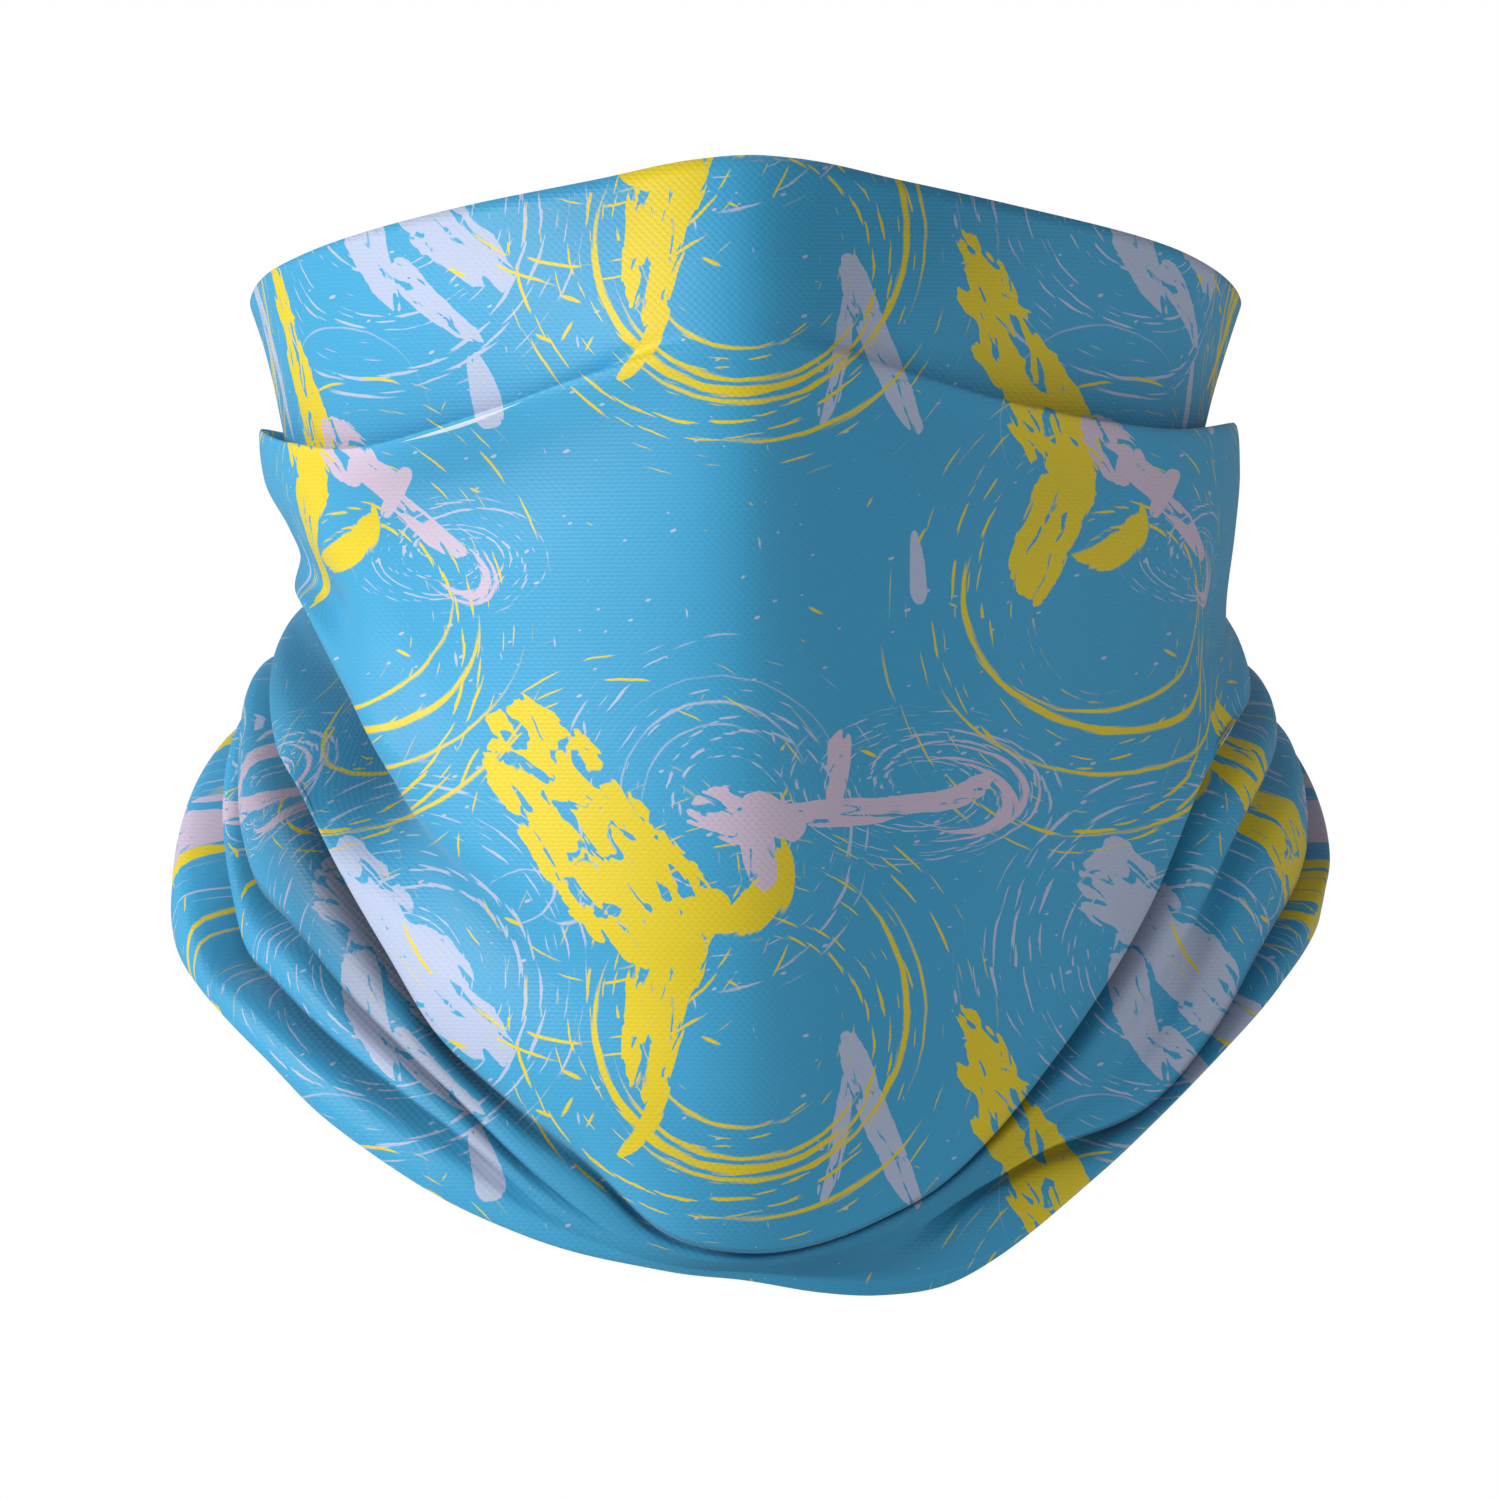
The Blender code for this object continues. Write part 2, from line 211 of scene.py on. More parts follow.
def section_radius(section, azimuth):
    """Distance from the neck's axis of a section's outline."""
    left, right, front, back, roundness = section
    sine, cosine = np.sin(azimuth), np.cos(azimuth)
    side = np.where(sine < 0, left, right)
    depth = np.where(cosine > 0, front, back)
    power = np.where(cosine > 0, roundness, 2.0)
    reach = (abs(sine) / side) ** power + (abs(cosine) / depth) ** power
    return reach ** (-1 / power)


def azimuth_of(section, across):
    """Azimuth, in degrees, of the point of a section's front half at a distance to the right."""
    left, right, front, _, roundness = section
    side = right if across > 0 else left
    share = min(abs(across) / side, 1.0)
    depth = front * (1 - share ** roundness) ** (1 / roundness)
    return math.degrees(math.atan2(across, depth))


def smooth_round(knots, azimuth):
    """A smooth periodic curve through (degrees, value) knots."""
    knots = sorted(knots)
    angles = np.array([knots[-1][0] - 360] + [k[0] for k in knots] + [knots[0][0] + 360])
    values = np.array([knots[-1][1]] + [k[1] for k in knots] + [knots[0][1]], float)
    angles = np.concatenate([[knots[-2][0] - 360], angles, [knots[1][0] + 360]])
    values = np.concatenate([[knots[-2][1]], values, [knots[1][1]]])
    slopes = np.zeros(len(values))
    for i in range(1, len(values) - 1):
        before, after = angles[i] - angles[i - 1], angles[i + 1] - angles[i]
        rise, fall = (values[i] - values[i - 1]) / before, (values[i + 1] - values[i]) / after
        slopes[i] = (rise * after + fall * before) / (before + after)
    degrees = np.degrees(azimuth)
    place = np.clip(np.searchsorted(angles, degrees, side="right") - 1, 1, len(angles) - 3)
    step = angles[place + 1] - angles[place]
    t = (degrees - angles[place]) / step
    start, end = values[place], values[place + 1]
    lean_in, lean_out = slopes[place] * step, slopes[place + 1] * step
    return (start * (2 * t ** 3 - 3 * t ** 2 + 1) + lean_in * (t ** 3 - 2 * t ** 2 + t)
            + end * (3 * t ** 2 - 2 * t ** 3) + lean_out * (t ** 3 - t ** 2))


def ring(name, azimuth):
    """Radius and height of a ring at each azimuth."""
    section, rear = RINGS[name][:5], RINGS[name][5:]
    knots = [(azimuth_of(section, across), height) for across, height in LINES[name]]
    knots += list(zip(REAR_ANGLES, rear))
    height = smooth_round(knots, azimuth)
    radius = section_radius(section, azimuth)
    for middle, spread, amount in SWELLS.get(name, ()):
        radius = radius + amount * np.exp(-((np.degrees(azimuth) - middle) / spread) ** 2)
    return np.stack([radius, height])


def behind_radius(rings, rows, top):
    """Smallest radius of the cloth's last rows below a height, on and near each azimuth, blurred."""
    last_rows, margin, near, far, spread = 70, 2, 5, 9, 4.0
    radius, height = np.moveaxis(loft(np.array(rings), rows), 1, 0)
    least = np.where(height <= top + margin, radius, 1e3)[-last_rows:].min(0)
    least = np.min([np.roll(least, shift) for shift in range(-near, near + 1)], axis=0)
    shifts = np.arange(-far, far + 1)
    weights = np.exp(-0.5 * (shifts / spread) ** 2)
    blurred = sum(weight * np.roll(least, shift) for shift, weight in zip(shifts, weights))
    return blurred / weights.sum()


def guide_rings(azimuth):
    """All the rings down the cloth, the number of rows after each, and the two kinds of painted shade."""
    rings, rows, creases, soft = [], [], [], []
    order = list(RINGS)
    heights = {name: ring(name, azimuth) for name in order}
    for (upper, lower), gap in EDGE_GAPS.items():
        room = heights[upper][1] - smooth_round(gap, azimuth)
        heights[lower][1] = soft_minimum(heights[lower][1], room)
    for place, name in enumerate(order):
        here = heights[name]
        rings.append(here)
        if name in PAINTED_SOFT_SHADE:
            up, down, count, knots = PAINTED_SOFT_SHADE[name]
            soft.append((sum(rows), sum(rows) + count, up, down, smooth_round(knots, azimuth)))
        if name not in TUCKS:
            rows.append(ROWS_AFTER.get(name, 0))
            continue
        up, inwards, low = (np.maximum(smooth_round(knots, azimuth), 0) for knots in TUCKS[name])
        after = heights[order[place + 1]]
        share = ease(inwards / FULL_TUCK)
        # Painted shadow below this edge: how far down it reaches and how dark it is
        creases.append((sum(rows), smooth_round(PAINTED_CREASE_REACH[name], azimuth),
                        share * smooth_round(PAINTED_CREASE_DARKNESS[name], azimuth)))
        inner = behind_radius(rings, rows, here[1] + up) - inwards
        drop = np.maximum(here[1] - after[1], 0.8)
        low = np.minimum(low, 0.25 * drop)
        sunk = np.minimum(here[0] - inwards, after[0] - 0.6 * inwards)
        folded = (here - np.stack([inwards * 0.45, 0.12 * up]),
                  np.stack([inner, here[1] + up]),
                  np.stack([sunk, here[1] - low]),
                  np.stack([after[0] - 0.1 * (after[0] - sunk),
                            here[1] - np.minimum(2.2 * low, 0.55 * drop)]))
        for way, point in zip(TUCK_WAY, folded):
            rings.append(here + (after - here) * way + (point - here - (after - here) * way) * share)
        rows += list(ROWS_IN_TUCK)
    return np.array(rings), rows[:-1], creases, soft


def soft_minimum(first, second, blend=0.4):
    """The smaller of two curves, with a rounded crossing."""
    gap = np.sqrt((first - second) ** 2 + blend ** 2)
    return (first + second - gap) / 2


def loft(rings, rows):
    """Rows of points through the rings, by centripetal Catmull-Rom curves down each azimuth."""
    count = len(rings)
    padded = np.concatenate([[2 * rings[0] - rings[1]], rings, [2 * rings[-1] - rings[-2]]])
    gaps = np.sqrt(np.linalg.norm(np.diff(padded, axis=0), axis=1)) + 1e-3
    out = []
    for i in range(count - 1):
        p0, p1, p2, p3 = padded[i:i + 4]
        d0, d1, d2 = gaps[i:i + 3]
        m1 = d1 * ((p1 - p0) / d0 - (p2 - p0) / (d0 + d1) + (p2 - p1) / d1)
        m2 = d1 * ((p2 - p1) / d1 - (p3 - p1) / (d1 + d2) + (p3 - p2) / d2)
        for step in range(rows[i]):
            t = step / rows[i]
            out.append((2 * t ** 3 - 3 * t ** 2 + 1) * p1 + (t ** 3 - 2 * t ** 2 + t) * m1
                       + (3 * t ** 2 - 2 * t ** 3) * p2 + (t ** 3 - t ** 2) * m2)
    out.append(rings[-1])
    return np.array(out)


def cloth_points():
    """Grid of the outer face's points, rows down and columns round from the seam, and their painted shade."""
    azimuth = np.radians(np.linspace(-180, 180, AROUND, endpoint=False))
    rings, rows, creases, soft = guide_rings(azimuth)
    radius, height = np.moveaxis(loft(rings, rows), 1, 0)
    # Painted shade: darkest just below each fold's edge and round a few rings, fading with distance
    shade = np.zeros_like(height)
    for row, reach, depth in creases:
        below = np.maximum(height[row] - height[row:], 0) / reach
        shade[row:] = np.maximum(shade[row:], depth * np.exp(-below ** 1.5))
    for row, last, up, down, depth in soft:
        off = height[:last] - height[row]
        off = off / np.where(off > 0, up, down)
        shade[:last] = np.maximum(shade[:last], depth * np.exp(-off ** 2))
    return np.stack([radius * np.sin(azimuth), -radius * np.cos(azimuth), height], axis=-1), shade


def grid_normals(points):
    """Outward normals of a grid that closes on itself round the tube."""
    around = np.roll(points, -1, axis=1) - np.roll(points, 1, axis=1)
    down = np.gradient(points, axis=0)
    normals = np.cross(down, around)
    return normals / np.linalg.norm(normals, axis=-1, keepdims=True)


def cloth_thickness(points):
    """Thickness at each point: thinner where the rows crowd together in a small fold."""
    spacing = np.linalg.norm(np.diff(points, axis=0, append=points[-1:]), axis=-1)
    spacing[-1] = spacing[-2]
    spacing = sum(np.roll(spacing, shift, 0) for shift in range(-4, 5)) / 9
    return np.clip(1.6 * spacing, 0.1, CLOTH)


def cavity(points):
    """How deep each point of the cloth lies in a fold or hollow, from 0 to 1: the weight of the painted shade
    there.
    """
    radius = np.hypot(points[..., 0], points[..., 1])
    rows, columns = radius.shape
    bands = np.clip((points[..., 2] / CAVITY_BAND).astype(int), 0, CAVITY_BANDS - 1)
    place = np.broadcast_to(np.arange(columns), (rows, columns))
    envelope = np.full((CAVITY_BANDS, columns), -1.0)
    np.maximum.at(envelope, (bands, place), radius)
    known = (envelope > 0).astype(float)
    envelope = np.maximum(envelope, 0)
    for axis, spread in ((0, 7), (1, 9)):
        offsets = np.arange(-2 * spread, 2 * spread + 1)
        total, count = np.zeros_like(envelope), np.zeros_like(known)
        for offset, weight in zip(offsets, np.exp(-0.5 * (offsets / spread) ** 2)):
            total += weight * np.roll(envelope, offset, axis)
            count += weight * np.roll(known, offset, axis)
        envelope, known = total, count
    envelope = envelope / np.maximum(known, 1e-6)
    above_collar = np.clip((rows - COLLAR_ROWS - np.arange(rows)) / 6, 0, 1)[:, None]
    depth = (envelope[bands, place] - radius - CAVITY_START) / CAVITY_FULL
    return np.clip(depth, 0, 1) * above_collar


def print_place(points):
    """Place of each point in the print, in repeats: flat across the front, then round the tube."""
    azimuth = np.linspace(-math.pi, math.pi, AROUND, endpoint=False)
    turn = ease((np.degrees(abs(azimuth)) - FLAT_TO) / ROUND_AFTER)
    wrapped = np.sign(azimuth) * (TUBE_RADIUS * abs(azimuth) - FRONT_SAVING)
    across = points[..., 0] * (1 - turn) + wrapped * turn
    return np.stack([across, points[..., 2] - PRINT_LEVEL], axis=-1) / REPEAT


def add_mesh(name, points, faces):
    """A smooth-shaded object from points in millimetres."""
    mesh = bpy.data.meshes.new(name)
    mesh.from_pydata((points * MM).tolist(), [], faces)
    mesh.shade_smooth()
    made = bpy.data.objects.new(name, mesh)
    bpy.context.scene.collection.objects.link(made)
    return made


def seam_faces(faces):
    """Marks the faces that join the last column to the first one."""
    columns = np.array(faces) % AROUND
    return (columns.max(1) == AROUND - 1) & (columns.min(1) == 0)


def make_cloth():
    """The tube as a thin closed shell: outer face, inner face and the two cut rims."""
    outer, painted_crease_shade = cloth_points()
    normals = grid_normals(outer)
    inner = outer - normals * cloth_thickness(outer)[..., None]
    rows = len(outer)
    faces, kinds = [], []
    half = rows * AROUND
    for row in range(rows - 1):
        for column in range(AROUND):
            a = row * AROUND + column
            b = row * AROUND + (column + 1) % AROUND
            c, d = b + AROUND, a + AROUND
            faces.append((a, d, c, b))
            kinds.append(0)
            faces.append((half + a, half + b, half + c, half + d))
            kinds.append(1)
    for column in range(AROUND):
        a, b = column, (column + 1) % AROUND
        faces.append((a, b, half + b, half + a))
        kinds.append(2)
        a, b = a + half - AROUND, b + half - AROUND
        faces.append((b, a, half + a, half + b))
        kinds.append(2)
    tube = add_mesh("cloth_tube", np.concatenate([outer.reshape(-1, 3), inner.reshape(-1, 3)]), faces)
    mesh = tube.data
    mesh.polygons.foreach_set("material_index", kinds)
    uv = mesh.uv_layers.new(name="print")
    corners = np.empty(len(mesh.loops), int)
    mesh.loops.foreach_get("vertex_index", corners)
    flat = np.tile(print_place(outer).reshape(-1, 2), (2, 1))[corners]
    seam = np.repeat(seam_faces(faces), 4)
    flat[:, 0] += np.where(seam & (flat[:, 0] < 0), SEAM_STEP, 0)
    uv.data.foreach_set("uv", flat.reshape(-1))
    # Painted shade: how much the fabric's colour is darkened in creases, folds and hollows, for outside and
    # inside alike
    depth = np.tile(np.maximum(cavity(outer), painted_crease_shade).reshape(-1), 2)
    mesh.attributes.new("painted_fold_shade", "FLOAT", "POINT").data.foreach_set("value", depth)
    return tube, outer


# ------------------------------
# The print: brush strokes, rings and splatter, in units of one repeat.
# ------------------------------
BLUE = (0.042, 0.37, 0.64, 1)
YELLOW = (0.80, 0.62, 0.012, 1)
LAVENDER = (0.47, 0.54, 0.72, 1)
PINK = (0.62, 0.51, 0.64, 1)
SOLID = 0.3                      # how full a dry stroke is in its middle


def set_inputs(node, **values):
    for name, value in values.items():
        node.inputs[name.replace("_", " ")].default_value = value


class Net:
    """Short ways to add and link shader nodes in one tree."""

    def __init__(self, tree):
        self.tree = tree

    def node(self, kind, settings=None, **inputs):
        node = self.tree.nodes.new(kind)
        for name, value in (settings or {}).items():
            setattr(node, name, value)
        for name, value in inputs.items():
            self.put(node.inputs[name.replace("_", " ")], value)
        return node

    def put(self, socket, value):
        if isinstance(value, bpy.types.NodeSocket):
            self.tree.links.new(value, socket)
        else:
            socket.default_value = value

    def math(self, operation, *values, clamp=False):
        node = self.tree.nodes.new("ShaderNodeMath")
        node.operation = operation
        node.use_clamp = clamp
        for socket, value in zip(node.inputs, values):
            self.put(socket, value)
        return node.outputs[0]

    def times(self, *values, **how):
        return self.math("MULTIPLY", *values, **how)

    def minus(self, *values, **how):
        return self.math("SUBTRACT", *values, **how)

    def times_add(self, *values, **how):
        return self.math("MULTIPLY_ADD", *values, **how)

    def vector(self, operation, *values):
        node = self.tree.nodes.new("ShaderNodeVectorMath")
        node.operation = operation
        for socket, value in zip(node.inputs, values):
            self.put(socket, value)
        return node.outputs["Value" if operation == "LENGTH" else "Vector"]

    def noise(self, place, scale, detail=2.0, distortion=0.0):
        node = self.node("ShaderNodeTexNoise", {"noise_dimensions": "2D"}, Vector=place, Scale=scale,
                         Detail=detail, Distortion=distortion)
        return node.outputs["Fac"]

    def mix(self, share, first, second, way="MIX"):
        node = self.tree.nodes.new("ShaderNodeMix")
        node.data_type = "RGBA"
        node.blend_type = way
        for name, value in (("Factor", share), ("A", first), ("B", second)):
            socket = next(s for s in node.inputs if s.name == name and s.enabled)
            self.put(socket, value)
        return next(s for s in node.outputs if s.enabled)

    def wave(self, place, direction, scale, distortion):
        node = self.node("ShaderNodeTexWave", {"bands_direction": direction}, Vector=place, Scale=scale,
                         Distortion=distortion)
        return node.outputs["Fac"]

    def line_noise(self, value, detail):
        node = self.node("ShaderNodeTexNoise", {"noise_dimensions": "1D"}, W=value, Scale=1.0, Detail=detail)
        return node.outputs["Fac"]

    def bump(self, shader, strength, distance, height):
        node = self.node("ShaderNodeBump", Strength=strength, Distance=distance, Height=height)
        self.put(shader.inputs["Normal"], node.outputs[0])

    def pair(self, x, y, z=0.0):
        node = self.node("ShaderNodeCombineXYZ", X=x, Y=y, Z=z)
        return node.outputs[0]


def new_group(name, inputs, output="Mask"):
    """A node group with one output and named inputs, all numbers but Place."""
    group = bpy.data.node_groups.new(name, "ShaderNodeTree")
    for label in inputs:
        kind = "NodeSocketVector" if label == "Place" else "NodeSocketFloat"
        group.interface.new_socket(name=label, in_out="INPUT", socket_type=kind)
    kind = "NodeSocketColor" if output == "Color" else "NodeSocketFloat"
    group.interface.new_socket(name=output, in_out="OUTPUT", socket_type=kind)
    net = Net(group)
    return net, group.nodes.new("NodeGroupInput").outputs, group.nodes.new("NodeGroupOutput").inputs[output]


MARK = ("X", "Y", "Across", "Up", "Cos", "Sin")      # sockets of every mark but the specks
SOCKETS = {
    "stroke": ("Length", "Width", "Bend", "Taper", "Tear", "Streak"),
    "arc": ("Radius", "Squash", "Width", "Span", "Tear", "Streak"),
    "ripple": ("Radius", "Reach", "Count", "Squash", "Amount"),
    "specks": ("Scale", "Stretch", "Size", "Amount"),
}


def local_axes(net, given):
    """Coordinates about the nearest repeat of a mark's centre, along and across the mark."""
    x = net.math("WRAP", net.minus(given["X"], given["Across"]), 0.5, -0.5)
    y = net.math("WRAP", net.minus(given["Y"], given["Up"]), 0.5, -0.5)
    along = net.times_add(x, given["Cos"], net.times(y, given["Sin"]))
    across = net.minus(net.times(y, given["Cos"]), net.times(x, given["Sin"]))
    return along, across


def make_brush_group():
    """A dry stroke: a bent, tapered oval whose edge and body are torn along its length."""
    net, given, made = new_group("brush_stroke", MARK + SOCKETS["stroke"] + ("Angle", "Place"))
    x, y = local_axes(net, given)
    along = net.math("DIVIDE", x, given["Length"])
    square = net.times(along, along)
    y = net.minus(y, net.times(square, given["Bend"]))
    width = net.times(given["Width"], net.times_add(along, given["Taper"], 1.0))
    across = net.math("DIVIDE", y, width)
    size = net.times_add(square, square, net.times(across, across))
    turned = net.node("ShaderNodeMapping", {"vector_type": "TEXTURE"}, Vector=given["Place"],
                      Rotation=net.pair(0.0, 0.0, given["Angle"]),
                      Scale=net.pair(0.055, net.math("DIVIDE", 1.0, given["Streak"]), 1.0))
    grain = net.noise(turned.outputs[0], 1.0, 2.5, 0.6)
    cover = net.math("MINIMUM", net.times(net.minus(1.0, size), 2.2), SOLID)
    torn = net.times_add(net.minus(grain, 0.5), given["Tear"], cover)
    net.put(made, net.times(torn, 14.0, clamp=True))
    return net.tree


def polar(net, given):
    """Radius and turn about a mark's centre, on an oval if it is squashed."""
    x, y = local_axes(net, given)
    y = net.times(y, given["Squash"])
    radius = net.math("SQRT", net.times_add(x, x, net.times(y, y)))
    return radius, net.math("ARCTAN2", y, x)


def make_arc_group():
    """A thin brushed line round part of an oval, thickest in its middle."""
    net, given, made = new_group("brush_arc", MARK + SOCKETS["arc"])
    radius, turn = polar(net, given)
    share = net.math("DIVIDE", turn, given["Span"])
    left = net.minus(1.0, net.times(share, share))
    drift = net.times(turn, 2.0)
    grain = net.line_noise(net.times_add(radius, given["Streak"], drift), 2.0)
    torn = net.times_add(net.minus(grain, 0.5), given["Tear"], left)
    reach = net.times(given["Width"], torn)
    off = net.math("ABSOLUTE", net.minus(radius, given["Radius"]))
    net.put(made, net.times(net.minus(reach, off), 420.0, clamp=True))
    return net.tree


def make_ripple_group():
    """Fine broken rings about a centre, inside a band of radii."""
    net, given, made = new_group("ripples", MARK + SOCKETS["ripple"])
    radius, turn = polar(net, given)
    window = net.math("DIVIDE", net.minus(radius, given["Radius"]), given["Reach"])
    window = net.minus(1.0, net.times(window, window), clamp=True)
    drift = net.times(turn, 1.3)
    rings = net.line_noise(net.times_add(radius, given["Count"], drift), 1.0)
    shift = net.times(radius, 83.0)
    breaks = net.line_noise(net.times_add(turn, 3.6, shift), 1.0)
    grain = net.times(net.math("ADD", rings, breaks), 0.5)
    level = net.minus(1.0, given["Amount"])
    shown = net.times(net.minus(grain, level), window)
    net.put(made, net.times(shown, 40.0, clamp=True))
    return net.tree


def make_specks_group():
    """Short dashes and dots of paint, one or none in each cell."""
    net, given, made = new_group("specks", ("Place", "Angle") + SOCKETS["specks"])
    turned = net.node("ShaderNodeMapping", {"vector_type": "TEXTURE"}, Vector=given["Place"],
                      Rotation=net.pair(0.0, 0.0, given["Angle"]), Scale=net.pair(given["Stretch"], 1.0, 1.0))
    cells = net.node("ShaderNodeTexVoronoi", {"voronoi_dimensions": "2D"}, Vector=turned.outputs[0],
                     Scale=given["Scale"])
    luck = net.node("ShaderNodeSeparateColor", Color=cells.outputs["Color"])
    size = net.times(given["Size"], luck.outputs["Green"])
    dot = net.times(net.minus(size, cells.outputs["Distance"]), 30.0, clamp=True)
    chosen = net.math("LESS_THAN", luck.outputs["Red"], given["Amount"])
    net.put(made, net.times(dot, chosen))
    return net.tree


# Strokes: centre across and up, direction in degrees, half length, half width, bend, taper, tear,
# streak
YELLOW_STROKES = (
    (-0.205, -0.112, -52, 0.205, 0.075, 0.014, 0.15, 2.8, 46),
    (-0.118, -0.315, -104, 0.135, 0.042, 0.016, -0.25, 2, 70),
    (-0.065, -0.215, 40, 0.045, 0.018, 0, 0.3, 1.6, 50),
    (0.35, -0.5, -62, 0.175, 0.046, 0.008, 0.25, 2.8, 50),
    (0.385, -0.715, -112, 0.095, 0.037, 0.01, -0.1, 2.1, 70),
    (-0.13, -0.48, -120, 0.06, 0.012, -0.012, -0.2, 1.8, 80),
)
LAVENDER_STROKES = (
    (0.505, -0.205, -40, 0.092, 0.048, 0.01, -0.35, 2.7, 50),
    (0.615, -0.33, -48, 0.108, 0.044, 0.006, -0.45, 2.3, 60),
    (0.505, -0.35, -72, 0.09, 0.024, 0.012, -0.5, 2.4, 60),
    (0.59, -0.425, -42, 0.08, 0.016, 0.008, -0.3, 2.6, 80),
    (0.54, -0.255, -60, 0.08, 0.03, 0, 0, 2.7, 60),
    (0.655, -0.535, -74, 0.052, 0.018, 0, 0.35, 2.1, 60),
    (0.165, -0.48, -68, 0.125, 0.019, 0.006, -0.1, 1.9, 90),
    (0.115, -0.5, -101, 0.085, 0.011, -0.008, 0.2, 2.5, 110),
    (0.215, 0.235, -86, 0.048, 0.01, 0, 0.3, 1.2, 60),
)
PINK_STROKES = (
    (-0.03, -0.08, -20, 0.048, 0.032, -0.01, 0.2, 2.9, 60),
    (0.012, -0.13, -80, 0.052, 0.022, 0, -0.2, 1.6, 50),
    (0.03, -0.085, -30, 0.045, 0.022, 0, 0, 1.5, 50),
    (0.14, -0.08, 4, 0.112, 0.016, 0.014, -0.2, 2.9, 100),
    (0.112, -0.035, 84, 0.062, 0.014, 0, 0.3, 1.8, 60),
    (0.25, -0.065, 14, 0.07, 0.013, 0.016, 0.3, 2, 90),
    (0.468, 0.392, -50, 0.052, 0.028, 0, 0.1, 2.9, 60),
    (0.515, 0.355, -35, 0.045, 0.018, 0, 0.1, 1.7, 60),
    (0.565, 0.3, -42, 0.082, 0.014, 0.008, 0.1, 2.9, 100),
    (0.54, 0.335, 62, 0.036, 0.011, 0, 0.2, 1.8, 60),
)
# Arcs: centre across and up, direction of the middle, radius, squash, half width, half span, tear,
# streak
YELLOW_ARCS = (
    (-0.05, -0.13, -48, 0.092, 1, 0.027, 1, 0.9, 60),
    (-0.01, -0.35, -118, 0.19, 1, 0.0075, 1.6, 1.6, 120),
    (-0.008, -0.355, -95, 0.172, 1, 0.0045, 1.3, 1.6, 150),
    (-0.01, -0.352, -80, 0.203, 1, 0.004, 1.3, 1.6, 150),
    (0.02, -0.335, 0, 0.182, 0.9, 0.005, 1.1, 0.7, 60),
    (-0.005, -0.345, -110, 0.142, 1.05, 0.0035, 1.1, 1.7, 150),
    (-0.01, -0.34, 10, 0.236, 1, 0.0026, 0.7, 1.8, 90),
    (-0.01, -0.33, -70, 0.275, 1, 0.0045, 0.6, 1.8, 150),
    (0.44, 0.32, -55, 0.07, 1, 0.023, 1, 0.9, 60),
    (0.462, 0.18, -105, 0.152, 0.8, 0.006, 1.9, 1.5, 120),
    (0.46, 0.182, -70, 0.128, 0.8, 0.0035, 1.5, 1.6, 150),
    (0.47, 0.165, -85, 0.196, 0.8, 0.0034, 1.4, 1.7, 150),
    (0.47, 0.15, -60, 0.25, 0.85, 0.0036, 0.7, 1.8, 150),
)
PALE_ARCS = (
    (-0.045, -0.06, 95, 0.122, 1, 0.003, 1.6, 1.2, 90),
    (-0.04, -0.07, 60, 0.165, 1, 0.0016, 1.9, 1, 60),
    (-0.04, -0.065, 120, 0.098, 1, 0.0022, 1.4, 1.4, 90),
    (0.455, 0.42, 110, 0.132, 1, 0.0018, 2, 1, 60),
    (-0.3, -0.19, 20, 0.05, 1.5, 0.0034, 2.4, 1.4, 70),
    (-0.235, -0.175, -20, 0.04, 0.8, 0.0034, 2.4, 1.4, 70),
    (-0.19, -0.19, -120, 0.034, 1.3, 0.003, 1.8, 1.4, 70),
)
PINK_ARCS = (
    (0.258, -0.058, -10, 0.078, 1.7, 0.011, 1.9, 1.9, 150),
    (0.248, -0.055, 0, 0.108, 1.75, 0.0055, 1.8, 1.9, 170),
    (0.245, -0.052, 0, 0.13, 1.7, 0.003, 1.6, 1.9, 170),
    (0.62, 0.238, -42, 0.046, 1.6, 0.009, 1.9, 1.9, 150),
    (0.612, 0.246, -42, 0.07, 1.7, 0.0045, 1.8, 1.9, 170),
)
# Ripples: centre across and up, turn, radius, reach, count, squash, amount
YELLOW_RIPPLES = (
    (-0.01, -0.345, 0, 0.22, 0.12, 190, 1, 0.355),
    (0.46, 0.17, 0, 0.19, 0.11, 190, 0.85, 0.355),
    (-0.18, -0.14, 0, 0.22, 0.09, 110, 1, 0.335),
)
PALE_RIPPLES = (
    (0.22, -0.05, 0, 0.11, 0.08, 190, 1.7, 0.4),
    (-0.04, -0.08, 0, 0.14, 0.1, 160, 1, 0.355),
    (0.61, 0.25, 0, 0.08, 0.06, 190, 1.7, 0.4),
    (0.54, -0.28, 0, 0.16, 0.12, 170, 1, 0.385),
)
# Specks: direction, cells in a repeat, stretch, size, share of the cells
PALE_SPECKS = ((20, 70, 2.2, 0.16, 0.16), (100, 40, 5, 0.11, 0.14))
YELLOW_SPECKS = ((62, 36, 6, 0.12, 0.12), (-25, 34, 5, 0.11, 0.08))
# The print's layers from the first to the last, each with its paint and its marks
PRINT = (
    (LAVENDER, {"arc": PALE_ARCS, "ripple": PALE_RIPPLES, "specks": PALE_SPECKS}),
    (LAVENDER, {"stroke": LAVENDER_STROKES}),
    (YELLOW, {"stroke": YELLOW_STROKES, "arc": YELLOW_ARCS, "ripple": YELLOW_RIPPLES,
              "specks": YELLOW_SPECKS}),
    (PINK, {"stroke": PINK_STROKES, "arc": PINK_ARCS}),
)


